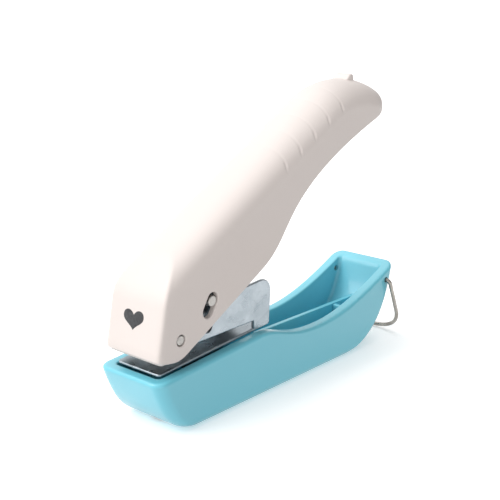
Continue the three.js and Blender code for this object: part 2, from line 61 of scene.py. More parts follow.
def add_camera():
    cos_a, sin_a = math.cos(CAMERA_AZIMUTH), math.sin(CAMERA_AZIMUTH)
    cos_e, sin_e = math.cos(CAMERA_ELEVATION), math.sin(CAMERA_ELEVATION)
    right = Vector((cos_a, sin_a, 0))
    back = Vector((sin_a * cos_e, -cos_a * cos_e, sin_e))
    up = back.cross(right)
    place = right * CAMERA_ACROSS + up * CAMERA_UP + back * CAMERA_DISTANCE
    place.x += CAMERA_CENTRE_X - ORIGIN_X
    data = bpy.data.cameras.new("camera")
    data.lens = CAMERA_LENS
    data.sensor_width = 36
    data.clip_start = 0.01
    data.clip_end = 50
    camera = bpy.data.objects.new("camera", data)
    turn = Matrix((right, up, back)).transposed().to_4x4()
    camera.matrix_world = Matrix.Translation(place * MM) @ turn
    bpy.context.scene.collection.objects.link(camera)
    bpy.context.scene.camera = camera


add_camera()

# ---- curves -------------------------------------------------------------------------------------


def bezier(a, b, c, d, steps):
    a, b, c, d = (np.asarray(p, float) for p in (a, b, c, d))
    t = np.linspace(0, 1, steps + 1)[:, None]
    return (1 - t) ** 3 * a + 3 * (1 - t) ** 2 * t * b + 3 * (1 - t) * t**2 * c + t**3 * d


def chain(*runs):
    """Joins polylines that meet end to end."""
    joined = [np.asarray(runs[0], float)]
    joined += [np.asarray(run, float)[1:] for run in runs[1:]]
    return np.vstack(joined)


def resample(points, fractions):
    points = np.asarray(points, float)
    along = np.concatenate([[0], np.cumsum(np.linalg.norm(np.diff(points, axis=0), axis=1))])
    at = np.asarray(fractions) * along[-1]
    return np.stack([np.interp(at, along, points[:, k]) for k in range(points.shape[1])], axis=1)


def smoothstep(x, low, high):
    t = np.clip((np.asarray(x, float) - low) / (high - low), 0, 1)
    return t * t * (3 - 2 * t)


# ---- meshes -------------------------------------------------------------------------------------


class Shape:
    """Collects closed surfaces, in millimetres, for one mesh."""

    def __init__(self):
        self.verts = []
        self.faces = []

    def add(self, verts, faces):
        start = len(self.verts)
        self.verts.extend(tuple(map(float, v)) for v in verts)
        self.faces.extend(tuple(int(i) + start for i in face) for face in faces)
        return self


def grid_faces(rows, cols, wrap_rows=False, wrap_cols=False):
    faces = []
    for r in range(rows if wrap_rows else rows - 1):
        for c in range(cols if wrap_cols else cols - 1):
            r2, c2 = (r + 1) % rows, (c + 1) % cols
            faces.append((r * cols + c, r * cols + c2, r2 * cols + c2, r2 * cols + c))
    return faces


def lathe(profile, origin, axis, sides=48):
    """Turns (radius, height) points about an axis; radius 0 closes an end."""
    axis = Vector(axis).normalized()
    side = axis.orthogonal().normalized()
    other = axis.cross(side)
    verts, rings = [], []
    for radius, height in profile:
        centre = Vector(origin) + axis * height
        if radius < 1e-6:
            rings.append([len(verts)] * sides)
            verts.append(tuple(centre))
            continue
        rings.append(list(range(len(verts), len(verts) + sides)))
        for i in range(sides):
            a = 2 * math.pi * i / sides
            verts.append(tuple(centre + (side * math.cos(a) + other * math.sin(a)) * radius))
    faces = []
    closed = profile[0][0] > 1e-6 and profile[-1][0] > 1e-6
    pairs = list(zip(rings, rings[1:])) + ([(rings[-1], rings[0])] if closed else [])
    for low, high in pairs:
        for i in range(sides):
            j = (i + 1) % sides
            face = list(dict.fromkeys((low[i], low[j], high[j], high[i])))
            if len(face) > 2:
                faces.append(face)
    return verts, faces


def rounded(profile, radius, steps=4):
    """Rounds the inner corners of an open (radius, height) polyline."""
    points = [Vector(p) for p in profile]
    out = [points[0]]
    for before, corner, after in zip(points, points[1:], points[2:]):
        reach = min(radius, 0.45 * (corner - before).length, 0.45 * (after - corner).length)
        start = corner + (before - corner).normalized() * reach
        end = corner + (after - corner).normalized() * reach
        for k in range(steps + 1):
            t = k / steps
            out.append(start * (1 - t) ** 2 + corner * 2 * t * (1 - t) + end * t**2)
    out.append(points[-1])
    return [tuple(p) for p in out]


def tube(points, radius, sides=14):
    """Round wire through dense points, with domed ends."""
    points = [Vector(p) for p in points]
    tangents = []
    for i, p in enumerate(points):
        ahead = points[min(i + 1, len(points) - 1)]
        behind = points[max(i - 1, 0)]
        tangents.append((ahead - behind).normalized())
    normal = tangents[0].orthogonal().normalized()
    rings = []
    cap = [(0.0, -1.0), (0.5, -0.87), (0.87, -0.5)]
    for share, back in cap:
        rings.append((points[0] + tangents[0] * (radius * back * 0.5), tangents[0], share))
    rings += [(p, t, 1.0) for p, t in zip(points, tangents)]
    for share, back in reversed(cap):
        rings.append((points[-1] - tangents[-1] * (radius * back * 0.5), tangents[-1], share))
    verts = []
    for centre, tangent, share in rings:
        normal = (normal - tangent * normal.dot(tangent)).normalized()
        other = tangent.cross(normal)
        size = max(share, 0.02) * radius
        for k in range(sides):
            a = 2 * math.pi * k / sides
            verts.append(centre + (normal * math.cos(a) + other * math.sin(a)) * size)
    faces = grid_faces(len(rings), sides, wrap_cols=True)
    faces.append(tuple(range(sides)))
    last = (len(rings) - 1) * sides
    faces.append(tuple(range(last, last + sides)))
    return verts, faces


def turn_area(loop):
    loop = np.asarray(loop, float)
    x, y = loop[:, 0], loop[:, 1]
    return 0.5 * float(np.sum(x * np.roll(y, -1) - y * np.roll(x, -1)))


def inward(loop):
    """For each corner, the step that moves both its edges one unit to the left."""
    loop = np.asarray(loop, float)
    edge = np.roll(loop, -1, axis=0) - loop
    edge /= np.linalg.norm(edge, axis=1)[:, None]
    left = np.stack([-edge[:, 1], edge[:, 0]], axis=1)
    before = np.roll(left, 1, axis=0)
    dot = np.sum(left * before, axis=1)
    return (left + before) / np.maximum(1 + dot, 0.35)[:, None]


def slab(outline, low, high, radius, to_space, holes=(), hole_radius=None, steps=3):
    """A plate of that outline with rounded edges; to_space turns (u, v, w) into (x, y, z)."""
    loops = [np.asarray(outline, float)] + [np.asarray(h, float) for h in holes]
    for i, loop in enumerate(loops):
        if (turn_area(loop) > 0) != (i == 0):
            loops[i] = loop[::-1]
    verts, faces = [], []
    caps = {0: [], -1: []}
    for number, loop in enumerate(loops):
        r = radius if number == 0 or hole_radius is None else hole_radius
        step = inward(loop)
        quarter = [math.pi / 2 * k / steps for k in range(steps + 1)]
        rings = [(r * (1 - math.sin(a)), low + r * (1 - math.cos(a))) for a in quarter]
        rings += [(d, high - (w - low)) for d, w in reversed(rings)]
        start, count = len(verts), len(loop)
        for d, w in rings:
            verts.extend(to_space(u, v, w) for u, v in loop + step * d)
        for face in grid_faces(len(rings), count, wrap_cols=True):
            faces.append(tuple(i + start for i in face))
        for end in caps:
            ring = end % len(rings)
            caps[end].append(list(range(start + ring * count, start + (ring + 1) * count)))
        if number == 0:
            flat = {0: [], -1: []}
        for end in flat:
            flat[end].append([(u, v, 0) for u, v in loop + step * rings[end][0]])
    for end in caps:
        index = [i for ring in caps[end] for i in ring]
        for triangle in tessellate_polygon(flat[end]):
            faces.append(tuple(index[i] for i in triangle))
    return verts, faces


def side_view(u, v, w):
    return (u, w, v)


def front_view(u, v, w):
    return (w, u, v)


def rod(radius, low, high):
    """The profile of a plain closed cylinder."""
    return [(0, low), (radius, low), (radius, high), (0, high)]


def circle(x, y, radius, sides=40):
    angles = [2 * math.pi * i / sides for i in range(sides)]
    return [(x + radius * math.cos(a), y + radius * math.sin(a)) for a in angles]


def obround(low, high, radius, sides=20):
    along = math.atan2(high[1] - low[1], high[0] - low[0])
    points = []
    for centre, first in ((high, along - math.pi / 2), (low, along + math.pi / 2)):
        for i in range(sides + 1):
            a = first + math.pi * i / sides
            points.append((centre[0] + radius * math.cos(a), centre[1] + radius * math.sin(a)))
    return points


def round_corners(points, radius, steps=6):
    """A closed outline with its corners rounded."""
    points = [Vector(p) for p in points]
    out = []
    for i, corner in enumerate(points):
        before, after = points[i - 1], points[(i + 1) % len(points)]
        to_before, to_after = (before - corner).normalized(), (after - corner).normalized()
        half = math.acos(max(-1, min(1, to_before.dot(to_after)))) / 2
        reach = min(radius / math.tan(half), 0.49 * (before - corner).length)
        reach = min(reach, 0.49 * (after - corner).length)
        start, end = corner + to_before * reach, corner + to_after * reach
        weight = math.sin(half)
        for k in range(steps + 1):
            t = k / steps
            a, b, c = (1 - t) ** 2, 2 * t * (1 - t) * weight, t * t
            out.append(tuple((start * a + corner * b + end * c) / (a + b + c)))
    return out


def finish_mesh(mesh, sharp):
    work = bmesh.new()
    work.from_mesh(mesh)
    bmesh.ops.remove_doubles(work, verts=work.verts, dist=1e-7)
    bmesh.ops.recalc_face_normals(work, faces=work.faces)
    work.to_mesh(mesh)
    work.free()
    mesh.shade_smooth()
    mesh.set_sharp_from_angle(angle=math.radians(sharp))


def shape_object(name, shape, sharp):
    """The shape as an object in the CAD frame, in metres."""
    place = np.array(shape.verts, float)
    place[:, 0] -= ORIGIN_X
    mesh = bpy.data.meshes.new(name)
    mesh.from_pydata((place * MM).tolist(), [], shape.faces)
    finish_mesh(mesh, sharp)
    made = bpy.data.objects.new(name, mesh)
    bpy.context.scene.collection.objects.link(made)
    return made


def piece(name, shape, material, body, stands_for=(), sharp=38):
    made = shape_object(name, shape, sharp)
    made.data.materials.append(material)
    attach(made, body)
    if stands_for:
        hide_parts(*stands_for)
    return made


def weigh_normals(made):
    """Keeps flat faces flat where they meet small rounded edges."""
    weighted = made.modifiers.new("weighted_normals", "WEIGHTED_NORMAL")
    weighted.keep_sharp = True
    weighted.weight = 90


def cut_away(made, shape, sharp=38):
    """Takes a closed shape out of a mesh."""
    cutter = shape_object("cutter", shape, 30)
    boolean = made.modifiers.new("cut", "BOOLEAN")
    boolean.operation = "DIFFERENCE"
    boolean.solver = "MANIFOLD"
    boolean.object = cutter
    graph = bpy.context.evaluated_depsgraph_get()
    cut = bpy.data.meshes.new_from_object(made.evaluated_get(graph))
    made.modifiers.remove(boolean)
    made.data = cut
    bpy.data.objects.remove(cutter)
    made.data.shade_smooth()
    made.data.set_sharp_from_angle(angle=math.radians(sharp))


# ---- materials ----------------------------------------------------------------------------------


class Look:
    """A node material with object coordinates, built a node at a time."""

    def __init__(self, name):
        self.material = bpy.data.materials.new(name)
        self.material.use_nodes = True
        self.nodes = self.material.node_tree.nodes
        self.links = self.material.node_tree.links
        self.shader = self.nodes["Principled BSDF"]
        self.coords = self.nodes.new("ShaderNodeTexCoord").outputs["Object"]

    def set(self, **values):
        for name, value in values.items():
            self.shader.inputs[name.replace("_", " ")].default_value = value
        return self

    def stretched(self, scale):
        mapping = self.nodes.new("ShaderNodeMapping")
        mapping.inputs["Scale"].default_value = scale
        self.links.new(self.coords, mapping.inputs["Vector"])
        return mapping.outputs["Vector"]

    def noise(self, scale, detail=3, roughness=0.5, coords=None):
        node = self.nodes.new("ShaderNodeTexNoise")
        node.inputs["Scale"].default_value = scale
        node.inputs["Detail"].default_value = detail
        node.inputs["Roughness"].default_value = roughness
        self.links.new(coords or self.coords, node.inputs["Vector"])
        return node.outputs["Fac"]

    def cells(self, scale, coords=None):
        node = self.nodes.new("ShaderNodeTexVoronoi")
        node.inputs["Scale"].default_value = scale
        self.links.new(coords or self.coords, node.inputs["Vector"])
        split = self.nodes.new("ShaderNodeSeparateColor")
        self.links.new(node.outputs["Color"], split.inputs["Color"])
        return split.outputs["Red"]

    def spread(self, value, low, high, from_low=0.0, from_high=1.0):
        node = self.nodes.new("ShaderNodeMapRange")
        for name, number in (
            ("From Min", from_low),
            ("From Max", from_high),
            ("To Min", low),
            ("To Max", high),
        ):
            node.inputs[name].default_value = number
        self.links.new(value, node.inputs["Value"])
        return node.outputs["Result"]

    def mix(self, factor, first, second):
        node = self.nodes.new("ShaderNodeMix")
        node.data_type = "RGBA"
        self.links.new(factor, node.inputs["Factor"])
        for socket, value in ((node.inputs["A"], first), (node.inputs["B"], second)):
            if isinstance(value, tuple):
                socket.default_value = (*value, 1)
            else:
                self.links.new(value, socket)
        return node.outputs["Result"]

    def add(self, first, second):
        node = self.nodes.new("ShaderNodeMath")
        node.operation = "ADD"
        self.links.new(first, node.inputs[0])
        self.links.new(second, node.inputs[1])
        return node.outputs["Value"]

    def colour(self, value):
        self.links.new(value, self.shader.inputs["Base Color"])
        return self

    def rough(self, value):
        self.links.new(value, self.shader.inputs["Roughness"])
        return self

    def bump(self, height, depth_mm, strength=1.0):
        node = self.nodes.new("ShaderNodeBump")
        node.inputs["Distance"].default_value = depth_mm * MM
        node.inputs["Strength"].default_value = strength
        self.links.new(height, node.inputs["Height"])
        self.links.new(node.outputs["Normal"], self.shader.inputs["Normal"])
        return self


def moulded(name, light, dark, rough, grain, grain_depth, coat):
    """Moulded plastic: faint flow marks in its colour, uneven gloss and a fine grain."""
    look = Look(name)
    look.set(Coat_Weight=coat, Coat_Roughness=0.12, IOR=1.47, Specular_IOR_Level=0.5)
    flow = look.noise(28, 4, 0.55, look.stretched((0.5, 1.4, 1.0)))
    speck = look.noise(900, 2)
    blended = look.add(look.spread(flow, 0.1, 0.8, 0.3, 0.7), look.spread(speck, -0.12, 0.12))
    look.colour(look.mix(blended, dark, light))
    look.rough(look.spread(look.noise(60, 3), rough - 0.02, rough + 0.02, 0.3, 0.7))
    return look.bump(look.noise(grain, 2, 0.6), grain_depth, 0.6).material


def zinc(name):
    """Zinc-plated sheet: crystal spangles and fine rolling scratches."""
    look = Look(name)
    look.set(Metallic=1.0, IOR=1.5)
    spangle = look.cells(420, look.stretched((0.8, 1.0, 1.2)))
    cloud = look.noise(160, 4, 0.6)
    scratches = look.noise(900, 3, 0.6, look.stretched((0.12, 1.0, 1.6)))
    tone = look.add(look.spread(spangle, 0.0, 0.5), look.spread(cloud, -0.1, 0.6, 0.3, 0.7))
    look.colour(look.mix(tone, (0.30, 0.345, 0.375), (0.46, 0.505, 0.54)))
    look.rough(look.add(look.spread(spangle, 0.26, 0.40), look.spread(scratches, -0.06, 0.06)))
    return look.bump(look.add(look.spread(spangle, 0, 0.5), scratches), 0.02, 0.5).material


def steel(name, light, dark, rough, along):
    """Turned or drawn steel with marks along or round it."""
    look = Look(name)
    look.set(Metallic=1.0, IOR=1.5)
    marks = look.noise(1500, 3, 0.65, look.stretched(along))
    stain = look.noise(300, 3)
    look.colour(look.mix(look.spread(stain, 0, 1, 0.3, 0.7), dark, light))
    look.rough(look.spread(marks, rough - 0.07, rough + 0.1, 0.3, 0.7))
    return look.bump(marks, 0.01, 0.5).material


TRAY = moulded("tray_blue", (0.165, 0.58, 0.70), (0.15, 0.55, 0.675), 0.37, 1400, 0.002, 0.6)
CREAM = moulded("shell_cream", (0.735, 0.668, 0.637), (0.71, 0.64, 0.605), 0.46, 2600, 0.003, 0.08)
ZINC = zinc("zinc_sheet")
PIN = steel("pin_steel", (0.45, 0.435, 0.415), (0.33, 0.315, 0.30), 0.32, (1, 0.15, 1))
SCREWS = steel("screw_steel", (0.60, 0.59, 0.57), (0.45, 0.44, 0.43), 0.34, (1, 1, 0.2))
TOOL = steel("tool_steel", (0.36, 0.36, 0.37), (0.24, 0.24, 0.25), 0.36, (1, 1, 0.12))
WIRE = steel("bail_wire", (0.42, 0.39, 0.355), (0.27, 0.25, 0.225), 0.26, (0.4, 0.4, 0.4))


def ink():
    """Pad-printed ink: nearly black, slightly uneven and matt."""
    look = Look("print_ink")
    grain = look.noise(1400, 4, 0.6)
    wear = look.spread(grain, 0, 1, 0.35, 0.7)
    look.colour(look.mix(wear, (0.022, 0.022, 0.025), (0.05, 0.05, 0.053)))
    look.rough(look.spread(grain, 0.45, 0.62))
    return look.bump(grain, 0.01, 0.5).material


INK = ink()

# ---- sizes that several pieces share ------------------------------------------------------------

SHEET = 1.2  # the steel frame's thickness
PLATE_FRONT = 4.6
PLATE_REAR = 57.0
PLATE_TOP = 20.1  # at the plate's front edge
SLOPE = math.radians(3.8)
PIVOT = (12.1, 29.8)
PIVOT_HOLE = 1.9
DRIVE = (26.6, 38.8)  # the drive pin with the handle up
PUNCH_TRAVEL = 9.04
SCREW_STATIONS = (14.5, 42.0)
SCREW_BORE = 1.75
CLOSING = math.radians(28)

# ---- tray ---------------------------------------------------------------------------------------

TRAY_LENGTH = 127.0
TRAY_HALF = 14.0
TRAY_CORNER = 4.0
RIM_SIDE = 4.2
RIM_TAIL = 3.0
FLOOR = 2.2
OUTER_FILLET = 1.5
INNER_FILLET = 0.8
BOTTOM_FILLET = 2.6
FLOOR_FILLET = 1.6
INNER_CORNER = 1.6
BAIL_AXIS = (120.8, 23.7)
BAIL_BORE = 1.1
BOSS_RADIUS = 3.6
BOSS_FOOT = 1.9
BOSS_GAP = 0.5  # between a boss and the plate over it
HEAD_BORE = 2.9
HEAD_BORE_TOP = 12.0
RIB_HALF = 0.9
RIB_EDGE = 0.35
RIB_FRONT = 60
CROSS_RIB = 105.6
CROSS_RIB_REACH = 10.6

rim_line = chain(
    [(0, 18.8), (48, 22)],
    bezier((48, 22), (57, 22.4), (62, 16.9), (78, 16.7), 60),
    bezier((78, 16.7), (93, 16.4), (107.5, 21), (127, 30), 60),
)
front_line = bezier((17, 0), (8.5, 0), (4.5, 6), (0, 18.8), 200)
tail_line = bezier((93, 0), (119, 0), (124.7, 18), (127, 30), 200)
front_inside = chain(bezier((19, 2.2), (10.5, 2.2), (7, 8), (4.2, 16.8), 200), [(4.2, 16.8), (4.2, 40)])
tail_inside = bezier((93, 2.2), (117, 2.2), (121.6, 18), (124, 30), 200)


def rim_height(x):
    return np.interp(x, rim_line[:, 0], rim_line[:, 1])


def plan_weights(end=18, corner=9, side=130):
    """Each row gives a point of a rounded rectangle as weights on (x0, x1, r) and (w, r)."""
    rows = []
    for t in np.arange(end) / end:
        rows.append((1, 0, 0, 1 - 2 * t, 2 * t - 1))
    for a in np.arange(corner) / corner * math.pi / 2:
        rows.append((1, 0, 1 - math.cos(a), -1, 1 - math.sin(a)))
    for t in np.arange(side) / side:
        rows.append((1 - t, t, 1 - 2 * t, -1, 0))
    for a in np.arange(corner) / corner * math.pi / 2:
        rows.append((0, 1, math.sin(a) - 1, -1, 1 - math.cos(a)))
    for t in np.arange(end) / end:
        rows.append((0, 1, 0, 2 * t - 1, 1 - 2 * t))
    for a in np.arange(corner) / corner * math.pi / 2:
        rows.append((0, 1, math.cos(a) - 1, 1, math.sin(a) - 1))
    for t in np.arange(side) / side:
        rows.append((t, 1 - t, 2 * t - 1, 1, 0))
    for a in np.arange(corner) / corner * math.pi / 2:
        rows.append((1, 0, 1 - math.sin(a), 1, math.cos(a) - 1))
    return np.array(rows, float)


PLAN = plan_weights()


def plan_ring(x0, x1, half, corner):
    x = PLAN[:, 0] * x0 + PLAN[:, 1] * x1 + PLAN[:, 2] * corner
    y = PLAN[:, 3] * half + PLAN[:, 4] * corner
    return x, y


def rim_ring(inset, drop=0.0):
    share = inset / RIM_SIDE
    corner = TRAY_CORNER + (INNER_CORNER - TRAY_CORNER) * share
    x, y = plan_ring(inset, TRAY_LENGTH - RIM_TAIL * share, TRAY_HALF - inset, corner)
    return np.stack([x, y, rim_height(x) - drop], axis=1)


def wall_rings(top, front, tail, floor, half, corner, fillet, levels):
    """Rings from a wall's top edge down to its floor, the ends following the two side profiles."""
    front_top = rim_height(front[-1, 0])
    tail_top = rim_height(tail[-1, 0])
    rings = []
    for s in np.linspace(1, 0, levels + 1):
        share = s * s
        z = floor + (top - floor) * share
        z_front = floor + (front_top - OUTER_FILLET - floor) * share
        z_tail = floor + (tail_top - OUTER_FILLET - floor) * share
        x0 = np.interp(z_front, front[:, 1], front[:, 0])
        x1 = np.interp(z_tail, tail[:, 1], tail[:, 0])
        up = np.clip(z - floor, 0, fillet)
        pulled = half - fillet + np.sqrt(fillet**2 - (fillet - up) ** 2)
        x, y = plan_ring(x0, x1, pulled, corner)
        rings.append(np.stack([x, y, z], axis=1))
    return rings


def bend(start, corner, end, steps):
    out = []
    for k in range(1, steps):
        t = k / steps
        out.append(start * (1 - t) ** 2 + corner * 2 * t * (1 - t) + end * t * t)
    return out


def tray_surface():
    outer_top = rim_ring(0)[:, 2] - OUTER_FILLET
    outer = wall_rings(
        outer_top, front_line, tail_line, 0.0, TRAY_HALF, TRAY_CORNER, BOTTOM_FILLET, 30
    )
    inner_top = rim_ring(RIM_SIDE)[:, 2] - INNER_FILLET
    inner = wall_rings(
        inner_top,
        front_inside,
        tail_inside,
        FLOOR,
        TRAY_HALF - RIM_SIDE,
        INNER_CORNER,
        FLOOR_FILLET,
        26,
    )
    rings = outer[::-1] + bend(outer[0], rim_ring(0), rim_ring(OUTER_FILLET), 6)
    for inset in np.linspace(OUTER_FILLET, RIM_SIDE - INNER_FILLET, 4):
        rings.append(rim_ring(inset))
    rings += bend(rings[-1], rim_ring(RIM_SIDE), inner[0], 5)
    rings += inner
    verts = [tuple(p) for ring in rings for p in ring]
    faces = grid_faces(len(rings), len(PLAN), wrap_cols=True)
    return verts, faces, rings[0], rings[-1]


def base_tray():
    """The tray's skin, closed over its bottom and its floor."""
    verts, faces, under, floor = tray_surface()
    for ring, start in ((under, 0), (floor, len(verts) - len(PLAN))):
        for triangle in tessellate_polygon([[(p[0], p[1], 0) for p in ring]]):
            faces.append(tuple(start + i for i in triangle))
    return Shape().add(verts, faces)


def tray_boss(x):
    """A hollow post, its screw's head let in from below."""
    top = PLATE_TOP - SHEET - BOSS_GAP + (x - PLATE_FRONT) * math.tan(SLOPE)
    profile = [(HEAD_BORE, BOSS_FOOT), (HEAD_BORE, HEAD_BORE_TOP), (SCREW_BORE, HEAD_BORE_TOP)]
    profile += [(SCREW_BORE, top), (BOSS_RADIUS, top), (BOSS_RADIUS, BOSS_FOOT)]
    return lathe(profile, (x, 0, 0), (0, 0, 1), 40)


def ribs():
    """One rib along the middle and one across, standing in the floor."""
    back = (tail_line + tail_inside) / 2
    back = back[back[:, 1] < 15]
    outline = [(RIB_FRONT, 1.2)] + [tuple(p) for p in back[::6]] + [(122.4, 15.2), (RIB_FRONT, 16)]
    shape = Shape().add(*slab(outline, -RIB_HALF, RIB_HALF, RIB_EDGE, side_view))
    cross = [(-CROSS_RIB_REACH, 2.4), (0.2, 2.4), (0.2, 15.0), (-CROSS_RIB_REACH, 15.0)]
    return shape.add(*slab(cross, CROSS_RIB - RIB_HALF, CROSS_RIB + RIB_HALF, RIB_EDGE, front_view))


def make_tray():
    tray = piece("tray", base_tray(), TRAY, "base", ["base_tray"])
    bail_centre = (BAIL_AXIS[0], 0, BAIL_AXIS[1])
    holes = Shape().add(*lathe(rod(BAIL_BORE, -20, 20), bail_centre, (0, 1, 0), 32))
    for x in SCREW_STATIONS:
        holes.add(*lathe(rod(HEAD_BORE, -5, 8), (x, 0, 0), (0, 0, 1), 40))
    cut_away(tray, holes)
    inner = ribs()
    for x in SCREW_STATIONS:
        inner.add(*tray_boss(x))
    piece("tray_ribs", inner, TRAY, "base", sharp=35)


make_tray()

# ---- die frame ----------------------------------------------------------------------------------

FRAME_HALF = 9.5
THROAT_CEILING = 25.6
EAR_BOTTOM = 22.2
DIE_RIVET_OFFSET = 6.6
DIE_RIVET_HOLE = 1.3
PUNCH_SLOT = 2.1


def plate_space(u, v, w):
    along, up = u - PLATE_FRONT, w - PLATE_TOP
    return (
        PLATE_FRONT + along * math.cos(SLOPE) - up * math.sin(SLOPE),
        v,
        PLATE_TOP + along * math.sin(SLOPE) + up * math.cos(SLOPE),
    )


def heart_outline(width, height, steps=12):
    """A heart with its point at the origin and its notch above it, in (across, up)."""
    w, h = width / 8.8, height / 6.2
    half = chain(
        bezier((0, 0), (1.3, 1.75), (4.25, 2.3), (4.38, 4.1), steps),
        bezier((4.38, 4.1), (4.45, 5.4), (3.6, 6.2), (2.45, 6.2), steps),
        bezier((2.45, 6.2), (1.5, 6.2), (0.75, 5.8), (0, 4.75), steps),
    )
    other = half[::-1][1:-1] * (-1, 1)
    return [(x * w, y * h) for x, y in np.vstack([half, other])]


def cutter_outline(width):
    """The cutter's heart, point towards +X, round the drive axis."""
    s = width / 2
    half = chain(
        bezier((0.95 * s, 0), (0.35 * s, 0.42 * s), (-0.05 * s, s), (-0.4 * s, s), 10),
        bezier((-0.4 * s, s), (-1.05 * s, s), (-s, 0.1 * s), (-0.5 * s, 0), 10),
    )
    other = half[::-1][1:-1] * (1, -1)
    return [(DRIVE[0] + x, y) for x, y in np.vstack([half, other])]


def ear_outline():
    """One ear from the side: down to the plate behind, and round the pivot in front."""
    boss = PIVOT[1] - THROAT_CEILING
    points = [(48.6, THROAT_CEILING), (48.6, EAR_BOTTOM), (56.8, EAR_BOTTOM + 0.6), (57.5, 34.2)]
    shoulder = bezier((57.5, 34.2), (57.6, 37.2), (55.4, 39.2), (52.4, 39.1), 10)
    points += [tuple(p) for p in shoulder[1:]]
    points += [(42, 38.4), (34, 43), (22.5, 43)]
    for a in np.radians(np.linspace(128, 270, 20)):
        points.append((PIVOT[0] + boss * math.cos(a), PIVOT[1] + boss * math.sin(a)))
    return points


def die_frame():
    shape = Shape()
    length = (PLATE_REAR - PLATE_FRONT) / math.cos(SLOPE)
    low, high = PLATE_FRONT, PLATE_FRONT + length
    corners = [(low, -FRAME_HALF), (high, -FRAME_HALF), (high, FRAME_HALF), (low, FRAME_HALF)]
    holes = [cutter_outline(7.2)]
    holes += [circle(x, 0, SCREW_BORE) for x in SCREW_STATIONS]
    for side in (-1, 1):
        holes.append(circle(DRIVE[0] + side * DIE_RIVET_OFFSET, 0, DIE_RIVET_HOLE, 28))
    outline = round_corners(corners, 1.3)
    shape.add(*slab(outline, PLATE_TOP - SHEET, PLATE_TOP, 0.5, plate_space, holes, 0.2, steps=4))
    inner = FRAME_HALF - SHEET
    slot = obround((DRIVE[0], DRIVE[1] - PUNCH_TRAVEL), DRIVE, PUNCH_SLOT)
    eye = circle(PIVOT[0], PIVOT[1], PIVOT_HOLE)
    for ear_low, ear_high in ((-FRAME_HALF, -inner), (inner, FRAME_HALF)):
        shape.add(*slab(ear_outline(), ear_low, ear_high, 0.42, side_view, [slot, eye], 0.2, steps=4))
    return shape


weigh_normals(piece("die_plate", die_frame(), ZINC, "base", ["die_frame"], sharp=50))

# ---- pins, spring and bail ----------------------------------------------------------------------


def cross_pin(centre, radius, half):
    """A pin across the head, its ends rounded."""
    one_end = rounded([(0, half), (radius, half), (radius, half - 2)], 0.35)
    other_end = [(r, -h) for r, h in reversed(one_end)]
    return Shape().add(*lathe(one_end + other_end, (centre[0], 0, centre[1]), (0, 1, 0), 48))


piece("pivot_rivet", cross_pin(PIVOT, 1.6, 11.7), PIN, "base", ["pivot_pin"])
piece("drive_rivet", cross_pin(DRIVE, 1.8, 11.6), PIN, "punch", ["drive_pin"])

COIL = 3.4
COIL_WIRE = 0.45
COIL_HALF = 2.6
COIL_START = math.radians(-71.6)
COIL_DEGREES = 1575.1
COIL_SWEEP = math.radians(-COIL_DEGREES)
ARM_DIRECTION = math.radians(153.3)
ARM_OVERLAP = 35  # degrees of the coil's last turn that the arm also covers


def on_coil(share, radius=COIL):
    a = COIL_START + share * COIL_SWEEP
    y = COIL_HALF * (2 * share - 1)
    return (PIVOT[0] + radius * math.cos(a), y, PIVOT[1] + radius * math.sin(a))


def make_spring():
    """The coil stays on the pivot; the arm, drawn as its own piece, turns with the handle."""
    lead = bezier((20.5, 29.0), (18.5, 28.35), (16.0, 27.5), (on_coil(0)[0], on_coil(0)[2]), 14)
    base = [(x, -COIL_HALF, z) for x, z in lead]
    base += [on_coil(s) for s in np.linspace(0, 1, 260)[1:]]
    coil = Shape().add(*tube(base, COIL_WIRE, 10))
    piece("spring_coil", coil, WIRE, "base", ["return_spring"])
    arm = [on_coil(s) for s in np.linspace(1 - ARM_OVERLAP / COIL_DEGREES, 1, 10)]
    x, y, z = on_coil(1)
    for step in np.linspace(0.7, 7, 10):
        arm.append((x + math.sin(ARM_DIRECTION) * step, y, z - math.cos(ARM_DIRECTION) * step))
    arm = Shape().add(*tube(arm, COIL_WIRE - 0.01, 10))
    piece("spring_arm", arm, WIRE, "handle")


make_spring()

BAIL_HALF = 15.6
BAIL_STRAIGHT = 13.5
BAIL_REACH = 24.6
BAIL_LEAN = math.radians(22)
BAIL_WIRE = 0.75
BAIL_ELBOW = 1.7
BAIL_END = 10.4


def bail_path():
    """The wire's middle line, from inside one wall out, round the loop and into the other."""
    straight = BAIL_HALF - BAIL_ELBOW
    side = [(BAIL_END, 0), (straight, 0)]
    for k in range(1, 9):
        a = math.pi / 2 * k / 8
        side.append((straight + BAIL_ELBOW * math.sin(a), BAIL_ELBOW - BAIL_ELBOW * math.cos(a)))
    side.append((BAIL_HALF, BAIL_STRAIGHT))
    round_end = []
    for a in np.linspace(0, math.pi, 120)[1:-1]:
        across = math.copysign(abs(math.cos(a)) ** 0.8, math.cos(a))
        out = BAIL_STRAIGHT + (BAIL_REACH - BAIL_STRAIGHT) * math.sin(a) ** 0.8
        round_end.append((BAIL_HALF * across, out))
    path = side + round_end + [(-y, out) for y, out in reversed(side)]
    path = resample(path, np.linspace(0, 1, 220))
    return [
        (BAIL_AXIS[0] + out * math.sin(BAIL_LEAN), y, BAIL_AXIS[1] - out * math.cos(BAIL_LEAN))
        for y, out in path
    ]


bail = Shape().add(*tube(bail_path(), BAIL_WIRE, 16))
piece("bail", bail, WIRE, "bail", ["wire_bail"])

# ---- handle shell -------------------------------------------------------------------------------

